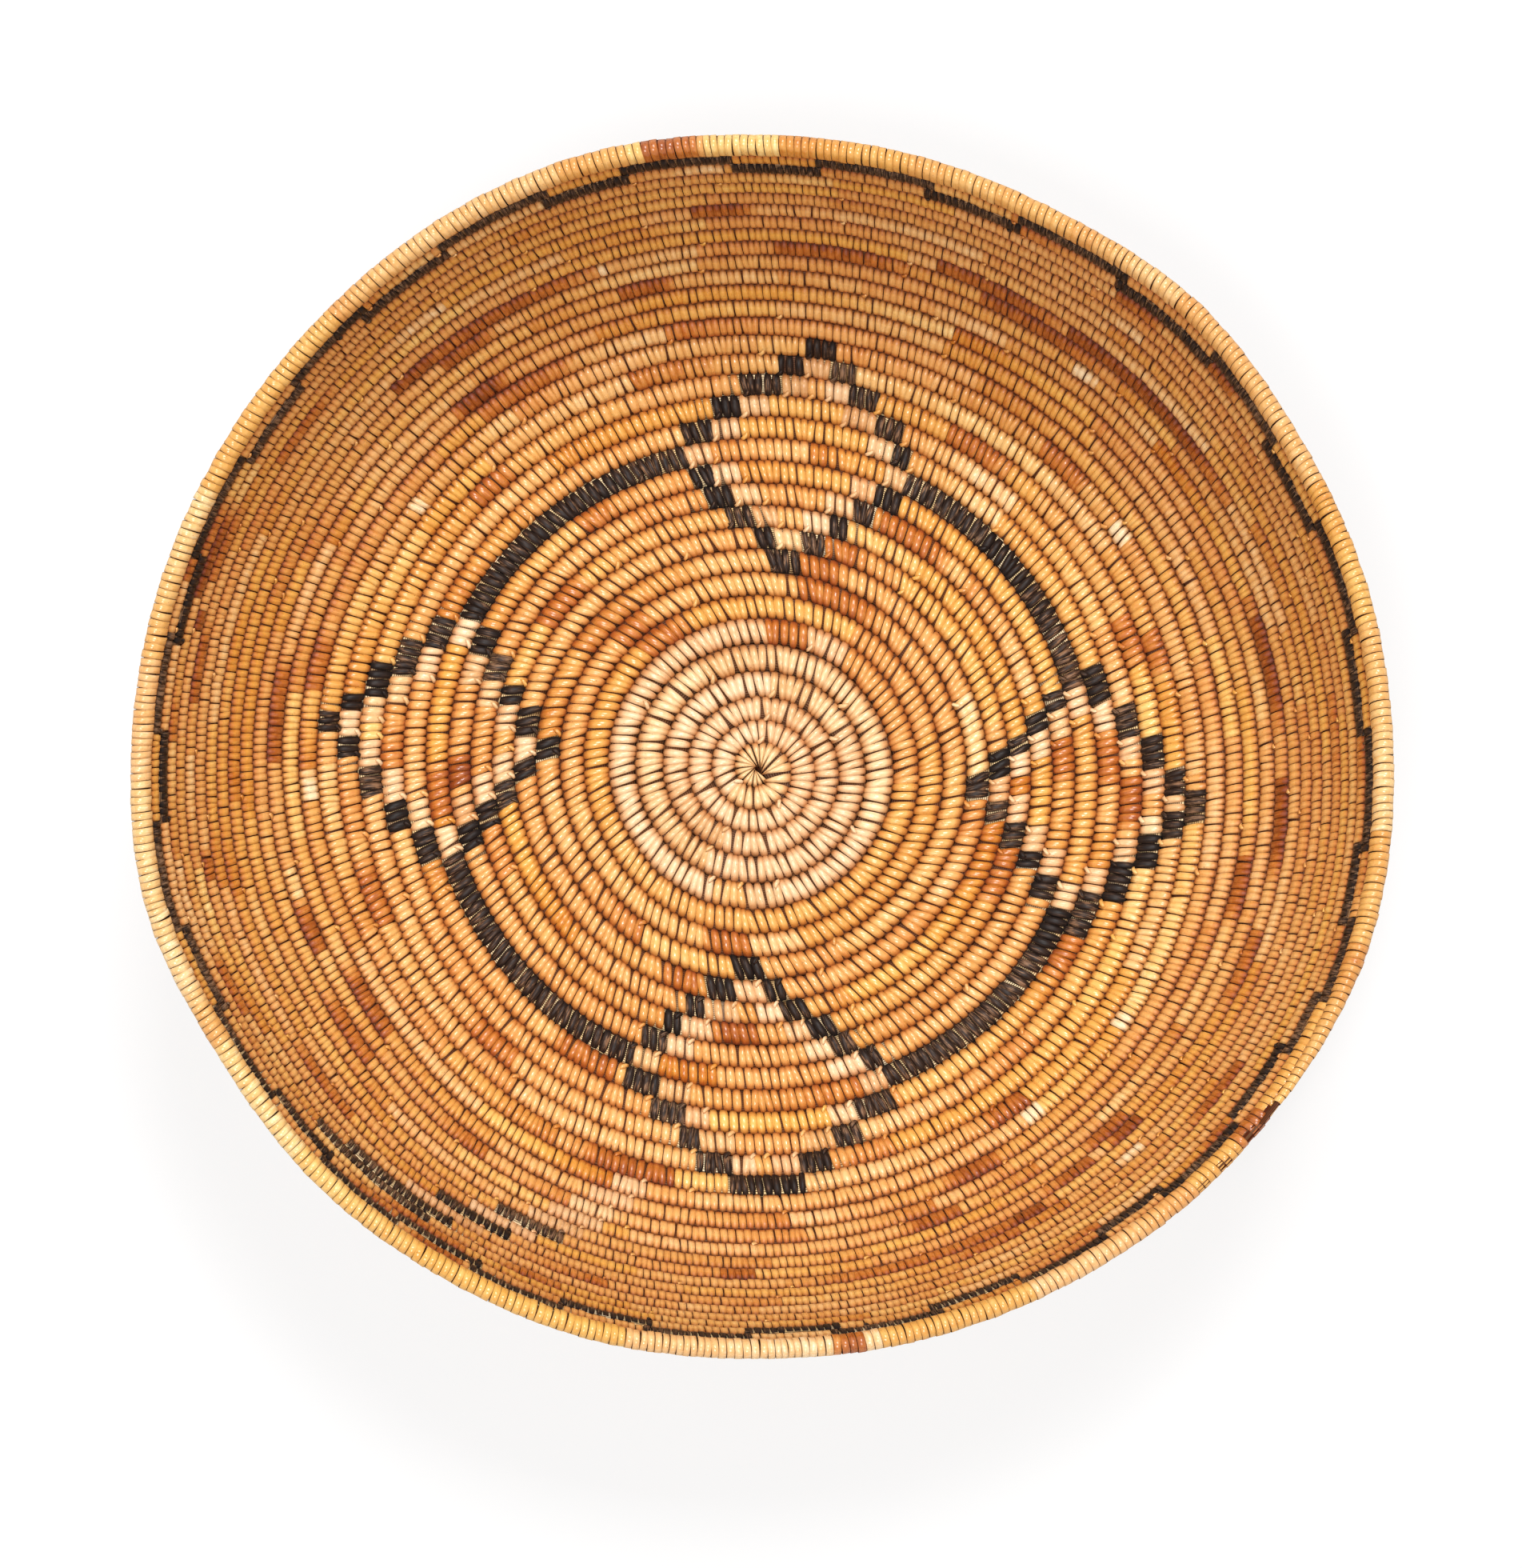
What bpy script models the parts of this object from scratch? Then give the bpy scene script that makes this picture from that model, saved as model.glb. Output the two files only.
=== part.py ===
"""Coiled mission basket, resting on its floor, in metres with +Z up.

The basket is one long coil: a grass bundle that starts at a knot in the middle
of the floor and winds outward, clockwise as seen from above, sewn tight with
plant strands. Each object here is the knot or one stretch of that sewn coil.
A stretch ends where the sewing changes from one kind of strand to another, or
where the basket changes from floor to wall, wall to edge line, edge line to rim.
Places along the coil are counted in turns from the knot, and bearings are
counted clockwise from +Y as seen from above.
"""

import math

import bpy
import numpy as np

# The sewn coil, across its round section, and what keeps the turns apart
floor_coil_width = 0.00580
rim_coil_width = 0.00500
seam_gap = 0.00060
stretch_gap = 0.0003
rim_tip_width = 0.0016

# The knot in the middle of the floor: its least radius and its rounded edge
knot_radius = 0.00166
knot_edge = 0.0010

# The run of the coil in turns, and the bearing of each whole turn in degrees
first_turn = 0.52
last_turn = 33.965
whole_turn_bearing = 140.0
rim_taper_turns = 0.05

# The rise of the wall: flat floor first, then ever steeper up to the rim,
# with the slope in degrees
floor_turns = 13.6
steepest_slope_degrees = 76.0
slope_ease_turns = 7.2
slope_ease_exponent = 1.25

# The rim is pushed out and in by hand use: the greatest push, and its shares
# at every fifteen degrees of bearing
rim_wave = 0.0067
rim_wave_shares = (
    -0.25, -0.25, -0.18, 0.26, 0.17, 0.38, 0.55, 0.83,
    0.84, 0.61, 0.25, 0.01, -0.15, -0.01, 0.02, 0.16,
    0.12, 0.55, 0.26, 0.01, -0.20, -0.23, -0.08, -0.04,
)

# The straight runs that stand for one turn, and the tube's sides
runs_in_turn = 21
tube_resolution = 1
tube_sides = 6

# Where each stretch of the coil ends, in turns, with its strand colour
stretches = (
    ("pale_centre_coil", 5.720, "pale_sumac"),
    ("floor_coil", 13.176, "natural_juncus"),
    ("ring_arc_lower_left", 13.317, "black_juncus"),
    ("diamond_row_left", 13.433, "natural_juncus"),
    ("ring_arc_upper_left", 13.575, "black_juncus"),
    ("diamond_row_top", 13.686, "natural_juncus"),
    ("ring_arc_upper_right", 13.822, "black_juncus"),
    ("diamond_row_right", 13.933, "natural_juncus"),
    ("ring_arc_lower_right", 14.050, "black_juncus"),
    ("lower_wall_coil", 19.020, "natural_juncus"),
    ("middle_wall_coil", 25.020, "natural_juncus"),
    ("upper_wall_coil", 30.940, "natural_juncus"),
    ("edge_line_lower_coil", 31.940, "black_juncus"),
    ("edge_line_upper_coil", 32.965, "black_juncus"),
    ("rim_coil", 33.915, "natural_juncus"),
)

# Strand colours (linear red, green, blue), roughness
strand_colours = {
    "pale_sumac": ((0.80, 0.60, 0.36, 1.0), 0.55),
    "natural_juncus": ((0.70, 0.35, 0.11, 1.0), 0.45),
    "black_juncus": ((0.030, 0.022, 0.018, 1.0), 0.50),
}


def clear_scene():
    """Remove whatever the startup file holds."""
    for old in list(bpy.data.objects):
        bpy.data.objects.remove(old, do_unlink=True)


def strand_material(name):
    """One sewing strand's colour as a plain Principled material."""
    material = bpy.data.materials.get(name)
    if material is None:
        colour, roughness = strand_colours[name]
        material = bpy.data.materials.new(name)
        material.use_nodes = True
        shader = material.node_tree.nodes["Principled BSDF"]
        shader.inputs["Base Color"].default_value = colour
        shader.inputs["Roughness"].default_value = roughness
        shader.inputs["Metallic"].default_value = 0.0
    return material


def coil_width(turn):
    """The coil is stout on the floor and thins steadily up the wall."""
    share = max(0.0, (turn - floor_turns) / (last_turn - floor_turns))
    return floor_coil_width + (rim_coil_width - floor_coil_width) * share


def wall_slope(turn):
    """Slope of the basket's wall at this turn, zero on the floor."""
    past = max(0.0, turn - floor_turns) / slope_ease_turns
    return math.radians(steepest_slope_degrees) * (1.0 - math.exp(-past ** slope_ease_exponent))


def coil_profile():
    """Radius and height of the coil's centre at each corner, marched outward."""
    side_distance = floor_coil_width / 2 * math.cos(math.pi / tube_sides)
    radius = knot_radius + stretch_gap + floor_coil_width / 2
    height = side_distance
    places = []
    corner_count = math.ceil((last_turn - first_turn) * runs_in_turn) + 1
    for corner in range(corner_count):
        places.append((radius, height))
        turn = first_turn + (corner + 0.5) / runs_in_turn
        step = (coil_width(turn) + seam_gap) / runs_in_turn
        radius += step * math.cos(wall_slope(turn))
        height += step * math.sin(wall_slope(turn))
    return places


def rim_push(bearing):
    """How far the rim is pushed out at a bearing, eased between the shares."""
    count = len(rim_wave_shares)
    place = bearing / (2 * math.pi) * count
    before = math.floor(place)
    t = place - before
    a, b, c, d = (rim_wave_shares[(before + k) % count] for k in (-1, 0, 1, 2))
    eased = b + 0.5 * t * (c - a + t * (2 * a - 5 * b + 4 * c - d + t * (3 * (b - c) + d - a)))
    return rim_wave * eased


def coil_corners():
    """Centre of the coil at every corner of its straight runs, as arrays."""
    places = coil_profile()
    rim_height = places[-1][1]
    floor_height = places[0][1]
    corners = []
    for index, (radius, height) in enumerate(places):
        turn = first_turn + index / runs_in_turn
        bearing = math.radians(whole_turn_bearing) + 2 * math.pi * turn
        rise_share = (height - floor_height) / (rim_height - floor_height)
        reach = radius + rim_push(bearing % (2 * math.pi)) * rise_share
        corners.append((reach * math.sin(bearing), reach * math.cos(bearing), height))
    return np.array(corners)


def coil_point(corners, turn):
    """A point of the coil, on the straight run between two corners."""
    place = (turn - first_turn) * runs_in_turn
    before = min(int(math.floor(place + 1e-9)), len(corners) - 2)
    return corners[before] + (corners[before + 1] - corners[before]) * (place - before)


def stretch_turns(start, end):
    """The corners between two places on the coil, and the two ends."""
    first = math.floor((start - first_turn) * runs_in_turn + 1e-6) + 1
    final = math.ceil((end - first_turn) * runs_in_turn - 1e-6) - 1
    inner = [first_turn + corner / runs_in_turn for corner in range(first, final + 1)]
    return [start] + inner + [end]


def tube_along(name, points, widths, tilts, material, parts):
    """A closed tube through the points, its section turned with the wall."""
    curve = bpy.data.curves.new(name, "CURVE")
    curve.dimensions = "3D"
    curve.twist_mode = "Z_UP"
    curve.bevel_mode = "ROUND"
    curve.bevel_depth = floor_coil_width / 2
    curve.bevel_resolution = tube_resolution
    curve.use_fill_caps = True
    spline = curve.splines.new("POLY")
    spline.points.add(len(points) - 1)
    for spline_point, point, width, tilt in zip(spline.points, points, widths, tilts):
        spline_point.co = (point[0], point[1], point[2], 1.0)
        spline_point.radius = width / floor_coil_width
        spline_point.tilt = tilt
    tube = bpy.data.objects.new(name, curve)
    curve.materials.append(material)
    parts.objects.link(tube)
    return tube


def add_stretch(name, start, end, corners, material, parts):
    """One stretch of the sewn coil, from one place on the coil to another."""
    turns = stretch_turns(start, end)
    points = [coil_point(corners, turn) for turn in turns]
    widths = [coil_width(turn) for turn in turns]
    tilts = [wall_slope(turn) for turn in turns]
    return tube_along(name, points, widths, tilts, material, parts)


def add_rim_end(start, corners, material, parts):
    """The last of the rim coil, thinned until it dies out on the turn below."""
    turns = stretch_turns(start, start + rim_taper_turns)
    points = []
    widths = []
    for turn in turns:
        share = (turn - start) / rim_taper_turns
        width = coil_width(turn) + (rim_tip_width - coil_width(turn)) * share
        below = coil_point(corners, turn - 1.0)
        across = coil_point(corners, turn) - below
        across /= np.linalg.norm(across)
        spacing = (coil_width(turn - 1.0) + width) / 2 + seam_gap
        points.append(below + across * spacing)
        widths.append(width)
    tilts = [wall_slope(turn) for turn in turns]
    return tube_along("rim_end", points, widths, tilts, material, parts)


def add_start_knot(corners, material, parts):
    """The knot that starts the coil: a flat block with rounded edges that fills
    the first turn, widening round the middle like a snail's shell. It stops one
    corner short, which leaves room for the start of the coil."""
    side_distance = floor_coil_width / 2 * math.cos(math.pi / tube_sides)
    outline = bpy.data.curves.new("start_knot", "CURVE")
    outline.dimensions = "2D"
    outline.fill_mode = "BOTH"
    outline.extrude = side_distance - knot_edge
    outline.bevel_depth = knot_edge
    outline.bevel_resolution = tube_resolution
    inset = floor_coil_width / 2 + stretch_gap + knot_edge
    spline = outline.splines.new("POLY")
    spline.points.add(runs_in_turn - 2)
    spline.use_cyclic_u = True
    for spline_point, corner in zip(spline.points, corners):
        reach = np.linalg.norm(corner[:2])
        x, y = corner[:2] * (reach - inset) / reach
        spline_point.co = (x, y, 0.0, 1.0)
    outline.materials.append(material)
    knot = bpy.data.objects.new("start_knot", outline)
    knot.location = (0.0, 0.0, side_distance)
    parts.objects.link(knot)
    return knot


def distance_to_run(point, run_start, run_end):
    """Distance from a point to one straight run."""
    run = run_end - run_start
    share = np.clip(np.dot(point - run_start, run) / np.dot(run, run), 0.0, 1.0)
    return np.linalg.norm(point - run_start - run * share)


def print_least_gap(corners):
    """Print the least gap between a turn of the coil and the next turn out."""
    least = math.inf
    for index in range(len(corners) - runs_in_turn - 1):
        turn = first_turn + index / runs_in_turn
        above = index + runs_in_turn
        widths = (coil_width(turn) + coil_width(turn + 1.0)) / 2
        for end in (above, above + 1):
            far = distance_to_run(corners[index], corners[end - 1], corners[end])
            near = distance_to_run(corners[end], corners[index], corners[index + 1])
            least = min(least, far - widths, near - widths)
    print(f"least gap between turns of the coil: {least * 1000:.3f} mm")


def build_basket():
    """The knot, then each stretch of the coil from the middle out to the rim."""
    clear_scene()
    parts = bpy.data.collections.new("mission_basket")
    bpy.context.scene.collection.children.link(parts)
    base = bpy.data.objects.new("mission_basket_base", None)
    parts.objects.link(base)
    corners = coil_corners()
    pieces = [add_start_knot(corners, strand_material("pale_sumac"), parts)]
    start = first_turn
    for name, end, strand in stretches:
        reach = np.linalg.norm(coil_point(corners, end)[:2])
        gap_turns = stretch_gap / (2 * math.pi * reach)
        pieces.append(
            add_stretch(name, start, end - gap_turns, corners, strand_material(strand), parts)
        )
        start = end
    pieces.append(add_rim_end(start, corners, strand_material("natural_juncus"), parts))
    for piece in pieces:
        piece.parent = base
    print_least_gap(corners)


build_basket()
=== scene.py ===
"""The looks of a coiled plant-fibre basket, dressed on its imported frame.

The basket is one bundle of grass stems wound outward from its middle, clockwise
as seen from above, and sewn turn to turn with split strands. Each stitch goes
once round the bundle and pierces the turn below. Places along the bundle are
counted in turns from the middle, and bearings in degrees clockwise from +Y.
"""
import bisect
import math
import random

import bpy
import numpy as np
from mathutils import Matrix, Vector


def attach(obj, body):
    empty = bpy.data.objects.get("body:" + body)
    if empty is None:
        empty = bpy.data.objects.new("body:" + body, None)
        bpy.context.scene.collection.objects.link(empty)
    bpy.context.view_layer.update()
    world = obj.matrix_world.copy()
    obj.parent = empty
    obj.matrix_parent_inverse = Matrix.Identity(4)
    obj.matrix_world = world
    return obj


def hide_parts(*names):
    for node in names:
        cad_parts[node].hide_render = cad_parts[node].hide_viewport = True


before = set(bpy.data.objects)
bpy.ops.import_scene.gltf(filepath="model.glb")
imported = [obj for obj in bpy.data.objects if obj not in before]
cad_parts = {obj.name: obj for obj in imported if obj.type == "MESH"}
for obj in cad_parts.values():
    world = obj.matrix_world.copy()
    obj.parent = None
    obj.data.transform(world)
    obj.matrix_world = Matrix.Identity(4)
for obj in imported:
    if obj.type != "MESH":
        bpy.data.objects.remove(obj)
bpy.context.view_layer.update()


# The bundle's run
# It lies flat on the floor, then climbs ever more steeply to the rim. Its turns
# touch, because the sewing pulls each one down on the turn below. The maker's hand
# and later use have moved its rows a little, by the wanders on the whole turn and
# by the dents at one place: turn, bearing, spread in turns and in degrees, depth.
floor_pitch = 0.0064
rim_pitch = 0.0056
middle_reach = 0.0047
floor_turns = 13.6
rim_start = 32.965
rim_swell = 0.08
rim_ease_turns = 0.05
taper_turn = 33.915
taper_depth_share = 0.7
last_turn = 33.965
whole_turn_bearing = 140.0
steepest_slope = 76.0
slope_ease_turns = 7.2
slope_ease_power = 1.25
rim_wave = 0.0067
rim_wave_shares = (
    -0.25, -0.25, -0.18, 0.26, 0.17, 0.38, 0.55, 0.83,
    0.84, 0.61, 0.25, 0.01, -0.15, -0.01, 0.02, 0.16,
    0.12, 0.55, 0.26, 0.01, -0.20, -0.23, -0.08, -0.04,
)
wander_turns = (
    0.0, 3.0, 4.0, 5.7, 7.0, 8.7, 9.7, 11.0, 13.7, 16.0, 18.5, 20.7, 23.0, 26.5, 29.0, 31.5, 34.0,
)
wanders = (
    -0.0006, -0.0007, -0.0001, 0.0015, 0.0017, 0.0018, 0.0016, 0.0009,
    0.0002, 0.0, 0.0003, 0.0007, 0.0007, 0.0005, 0.0007, 0.0004, 0.0002,
)
dents = (
    (21.2, 15.0, 5.0, 38.0, -0.0020), (20.5, 240.0, 4.0, 22.0, -0.0019),
    (25.0, 100.0, 5.0, 26.0, 0.0021), (16.5, 128.0, 4.5, 26.0, 0.0019),
    (16.2, 190.0, 6.0, 24.0, -0.0009), (9.2, 285.0, 4.0, 36.0, 0.0010),
    (9.2, 5.0, 5.0, 30.0, -0.0008), (19.5, 277.0, 4.0, 20.0, 0.0011),
    (14.5, 302.0, 3.5, 30.0, 0.0009), (27.0, 295.0, 3.0, 25.0, 0.0005),
    (25.0, 342.0, 5.0, 16.0, -0.0009), (27.0, 45.0, 3.0, 14.0, -0.0006),
    (8.0, 95.0, 3.5, 25.0, 0.0010), (10.0, 238.0, 4.5, 24.0, -0.0009),
    (2.0, 140.0, 3.5, 60.0, 0.0006), (2.0, 0.0, 3.0, 60.0, -0.0006),
)
steps_in_turn = 84
ring_height_share = 0.80
tip_reach = 1.18
centre_opening_turn = 0.80
widest_middle_share = 1.25


def smooth(share):
    """An S-curve from 0 to 1."""
    share = min(1.0, max(0.0, share))
    return share * share * (3.0 - 2.0 * share)


def turn_pitch(turn):
    """How far apart the turns lie, which shrinks steadily up the wall."""
    share = max(0.0, (turn - floor_turns) / (last_turn - floor_turns))
    return floor_pitch + (rim_pitch - floor_pitch) * share


def wall_slope(turn):
    """Slope of the wall at this turn, in radians."""
    past = max(0.0, turn - floor_turns) / slope_ease_turns
    return math.radians(steepest_slope) * (1.0 - math.exp(-past ** slope_ease_power))


def rim_push(bearing):
    """How far the rim is pushed out at a bearing, eased between the shares."""
    count = len(rim_wave_shares)
    place = (bearing % 360.0) / 360.0 * count
    before = math.floor(place)
    t = place - before
    a, b, c, d = (rim_wave_shares[(before + k) % count] for k in (-1, 0, 1, 2))
    curve = 2 * a - 5 * b + 4 * c - d + t * (3 * (b - c) + d - a)
    return rim_wave * (b + 0.5 * t * (c - a + t * curve))


def turn_bearing(turn):
    """Bearing of a place on the bundle, in degrees."""
    return whole_turn_bearing + 360.0 * turn


def bundle_profile():
    """Outer reach and rise of the bundle at every step, marched outward."""
    reaches, rises = [middle_reach], [0.0]
    for index in range(int(round(last_turn * steps_in_turn))):
        middle = (index + 0.5) / steps_in_turn
        step = turn_pitch(middle) / steps_in_turn
        reaches.append(reaches[-1] + step * math.cos(wall_slope(middle)))
        rises.append(rises[-1] + step * math.sin(wall_slope(middle)))
    return reaches, rises


def hand_push(turn, bearing):
    """How far the maker's hand and later use have moved this place outward."""
    push = float(np.interp(turn, wander_turns, wanders))
    for dent_turn, dent_bearing, turn_spread, bearing_spread, depth in dents:
        aside = (bearing - dent_bearing + 180.0) % 360.0 - 180.0
        apart = ((turn - dent_turn) / turn_spread) ** 2 + (aside / bearing_spread) ** 2
        push += depth * math.exp(-apart)
    return push


def bundle_run():
    """Centre and half width of the bundle at every step. In the first turn each
    stitch starts from the middle of the floor, so its half width is its own."""
    reaches, rises = bundle_profile()
    centres, halves = [], []
    for index, (reach, rise) in enumerate(zip(reaches, rises)):
        turn = index / steps_in_turn
        bearing = turn_bearing(turn)
        reach += hand_push(turn, bearing) + rim_push(bearing) * rise / rises[-1]
        half = turn_pitch(turn) / 2
        if turn < 1.0:
            opened = smooth((turn - centre_opening_turn) / (1.0 - centre_opening_turn))
            opening = max(0.0, reach - floor_pitch) * opened
            half = min((reach - opening) / (1.0 + tip_reach), half * widest_middle_share)
        angle = math.radians(bearing)
        height = floor_pitch / 2 * ring_height_share + rise
        centres.append(((reach - half) * math.sin(angle), (reach - half) * math.cos(angle), height))
        halves.append(half)
    centres, halves = np.array(centres), np.array(halves)
    for index in range(steps_in_turn * 3 // 2, len(centres) - steps_in_turn):
        span = centres[index + steps_in_turn] - centres[index - steps_in_turn]
        halves[index] = np.linalg.norm(span) / 4
    return centres, halves


def unit(vectors):
    """Vectors made one long."""
    return vectors / np.linalg.norm(vectors, axis=-1, keepdims=True)


centres, halves = bundle_run()
for index in range(int(taper_turn * steps_in_turn) + 1, len(centres)):
    thinning = (index / steps_in_turn - taper_turn) / (last_turn - taper_turn)
    below = index - steps_in_turn
    halves[index] *= 1.0 - taper_depth_share * thinning
    outward = unit(centres[index] - centres[below])
    centres[index] = centres[below] + outward * (halves[below] + halves[index])
steps = np.arange(len(centres))
above = np.where(steps + steps_in_turn < len(steps), steps + steps_in_turn, steps)
below = np.where(steps >= steps_in_turn, steps - steps_in_turn, steps)
onward = unit(np.gradient(centres, axis=0))
flat_outward = centres * (1.0, 1.0, 0.0)
climb = np.where((steps < steps_in_turn)[:, None], flat_outward, centres[above] - centres[below])
across = unit(climb - onward * np.sum(climb * onward, axis=1, keepdims=True))
inward = np.cross(onward, across)


def at_turn(values, turn):
    """A value of the bundle at any place between two steps."""
    place = min(max(turn * steps_in_turn, 0.0), len(values) - 1.001)
    before = int(place)
    return values[before] + (values[before + 1] - values[before]) * (place - before)


# The strands' pattern
# Which strand each stitch is sewn with: dyed black for the diamonds' outlines,
# the ring, the edge line and a few dashes, pale for the middle of the floor and
# the diamonds' inner borders, natural for the rest. Spans are bearings on a row,
# and row 13 is the one that starts 13 turns from the middle. A diamond's row has
# its left and its right black span, or only one at its two points.
top_diamond = {
    18: (367.2, 370.6), 17: (363.2, 367.0, 370.5, 374.1), 16: (358.0, 363.4, 373.6, 378.4),
    15: (352.9, 357.7, 378.5, 382.9), 14: (347.0, 352.6, 382.9, 386.6),
    13: (347.0, 347.0, 388.0, 388.0), 12: (346.6, 351.2, 383.7, 387.7),
    11: (350.0, 354.0, 381.0, 385.4), 10: (354.0, 358.7, 376.6, 381.5),
    9: (358.8, 363.9, 371.1, 376.7), 8: (364.0, 371.2),
}
right_diamond = {
    18: (93.3, 97.7), 17: (89.8, 93.8, 96.3, 100.1), 16: (85.9, 90.9, 99.8, 105.0),
    15: (80.1, 85.0, 104.7, 110.0), 14: (72.4, 79.6, 110.4, 117.5),
    13: (75.3, 75.3, 114.8, 114.8), 12: (75.5, 79.0, 110.8, 114.5),
    11: (78.6, 82.9, 106.4, 110.9), 10: (82.8, 86.7, 102.1, 106.5),
    9: (86.5, 92.0, 98.7, 102.4), 8: (92.0, 97.7),
}
bottom_diamond = {
    18: (173.8, 183.6), 17: (169.4, 173.7, 183.6, 188.3), 16: (164.1, 168.6, 188.1, 192.4),
    15: (157.9, 163.3, 192.3, 197.3), 14: (157.8, 157.8, 197.0, 203.3),
    13: (156.7, 160.8, 203.3, 203.3), 12: (160.8, 165.3, 198.7, 203.0),
    11: (164.0, 168.6, 195.5, 200.6), 10: (168.2, 173.5, 191.3, 195.9),
    9: (173.2, 178.3, 186.5, 191.7), 8: (178.2, 185.9),
}
left_diamond = {
    18: (274.3, 277.5), 17: (270.8, 274.1, 277.5, 280.8), 16: (265.5, 270.7, 280.1, 285.2),
    15: (260.2, 265.3, 285.1, 290.3), 14: (254.5, 260.2, 290.2, 295.9),
    13: (254.5, 254.5, 297.0, 297.0), 12: (254.5, 259.2, 292.0, 297.0),
    11: (257.9, 262.2, 288.6, 293.2), 10: (261.8, 267.0, 284.2, 288.8),
    9: (266.4, 272.2, 278.7, 285.0), 8: (271.8, 278.8),
}
border_width = 0.0078
border_share = 0.36
all_border_width = 0.0100
ring_arcs = ((203.3, 254.5), (297.0, 347.0), (28.0, 75.3), (114.8, 157.8))
edge_line_changes = (
    144.7, 153.9, 162.4, 172.3, 180.6, 190.8, 199.2, 208.5, 217.1, 226.1, 234.4, 243.9,
    252.6, 262.7, 271.4, 280.7, 288.9, 299.4, 307.9, 317.9, 327.4, 339.0, 347.2, 357.7,
    365.8, 377.2, 386.7, 398.3, 409.4, 419.4, 428.7, 439.2, 448.7, 459.6, 466.6, 474.2, 480.3,
)
edge_line_start = ((30, 119.8, 128.4), (31, 128.2, 138.0), (30, 137.4, 144.9))
edge_line_overlap = 0.0009
dashes = ((24, 201.9, 209.9), (26, 207.2, 215.9), (28, 212.6, 226.0), (29, 214.5, 230.1))
pale_patches = (
    (19, 194.5, 199.0), (20, 195.9, 201.0), (21, 197.2, 203.2), (22, 198.3, 205.0),
    (23, 200.0, 207.0), (25, 204.5, 212.5), (27, 210.0, 219.5),
)
pale_centre_end = 5.72
natural_patches = ((5, 3.0, 22.0), (5, 183.0, 201.0))


def row_turn(row, bearing):
    """Turns from the middle at a bearing on a row."""
    return row + ((bearing - whole_turn_bearing) % 360.0) / 360.0


def add_span(spans, row, start, end, strand):
    """One run of stitches with the same strand, from bearing to bearing."""
    first = row_turn(row, start)
    spans.append((first, first + (end - start) / 360.0, strand))


def add_borders(spans, row, start, end):
    """The pale stitches just inside a diamond's two black spans on a row."""
    reach = np.linalg.norm(at_turn(centres, row_turn(row, start))[:2])
    room = math.radians(end - start) * reach
    width = math.degrees(min(border_width, border_share * room) / reach)
    if room < all_border_width:
        add_span(spans, row, start, end, "pale")
    else:
        add_span(spans, row, start, start + width, "pale")
        add_span(spans, row, end - width, end, "pale")


def pattern_spans():
    """Every span that isn't natural, in order, as (start, end, strand) in turns."""
    spans = []
    for diamond in (top_diamond, right_diamond, bottom_diamond, left_diamond):
        for row, edges in diamond.items():
            add_span(spans, row, edges[0], edges[1], "black")
            if len(edges) == 4:
                add_span(spans, row, edges[2], edges[3], "black")
                add_borders(spans, row, edges[1], edges[2])
    for start, end in ring_arcs:
        add_span(spans, 13, start, end, "black")
    for index, start in enumerate(edge_line_changes[:-1]):
        row = 32 if index % 2 == 0 else 31
        first = row + (start - whole_turn_bearing) / 360.0
        length = (edge_line_changes[index + 1] - start) / 360.0
        spans.append((first - edge_line_overlap, first + length + edge_line_overlap, "black"))
    for row, start, end in edge_line_start + dashes:
        add_span(spans, row, start, end, "black")
    for row, start, end in pale_patches:
        add_span(spans, row, start, end, "pale")
    last = 0.0
    for row, start, end in sorted(natural_patches, key=lambda patch: row_turn(patch[0], patch[1])):
        spans.append((last, row_turn(row, start), "pale"))
        last = row_turn(row, end)
    spans.append((last, pale_centre_end, "pale"))
    return sorted(span for span in spans if span[1] > span[0])


pattern = pattern_spans()
pattern_starts = [span[0] for span in pattern]


def strand_at(turn):
    """Which strand a stitch at this place is sewn with."""
    place = bisect.bisect_right(pattern_starts, turn) - 1
    for start, end, strand in pattern[max(0, place - 1):place + 1]:
        if start <= turn < end:
            return strand
    return "natural"


# The sewing
# Every stitch of the basket in order, from the middle to the rim's end. The
# stitches are 2.3 to 2.7 mm apart on the floor and 2 mm on the wall and the rim.
# A stitch's inner tip goes down between two stitches of the turn below. A split
# strand is used for nine to thirty stitches, and a natural one runs from its
# orange-brown root end to its tan tip. The notable strands are those that stand
# out on the real basket: their tone, then row, first bearing and last bearing.
spacing_turns = (0.0, 4.0, 6.0, 8.5, 10.0, 16.5, 18.5, 28.0, 34.0)
stitch_spacings = (
    0.00225, 0.00225, 0.00242, 0.00265, 0.00240, 0.00234, 0.00206, 0.00198, 0.00203,
)
middle_stitches = 19
slant_turns = (0.0, 1.0, 5.0, 8.0, 11.0, 14.0, 20.0, 32.93, 32.98, 33.9, 33.965)
stitch_slants = (0.0, 0.06, 0.14, 0.34, 0.26, 0.15, 0.10, 0.12, 0.14, 0.16, 0.40)
crest_lean_share = 0.46
most_owed = 0.5
most_ahead = 1.0
least_added_room = 0.9
place_play = 0.05
fewest_in_strand = 9
most_in_strand = 30
root_tones = (0.34, 0.80, 0.56)
tip_tones = (0.54, 0.90, 0.70)
even_strands_share = 0.25
strand_tone_play = 0.05
stitch_tone_play = 0.035
notable_tone_play = 0.04
tone_change_speed = 1.3
strand_fade = 0.7
fade_start_share = 0.6
notable_hue = 0.35
# Painted light: how much lighter the rim's tones are made, for its stronger highlights.
rim_lighter = 0.07
easing_weights = (1, 2, 3, 4, 3, 2, 1)
aside_play = 0.03
across_play = 0.05
twist_play = 0.08
reach_range = (0.98, 1.04)
rise_range = (0.96, 1.06)
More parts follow.
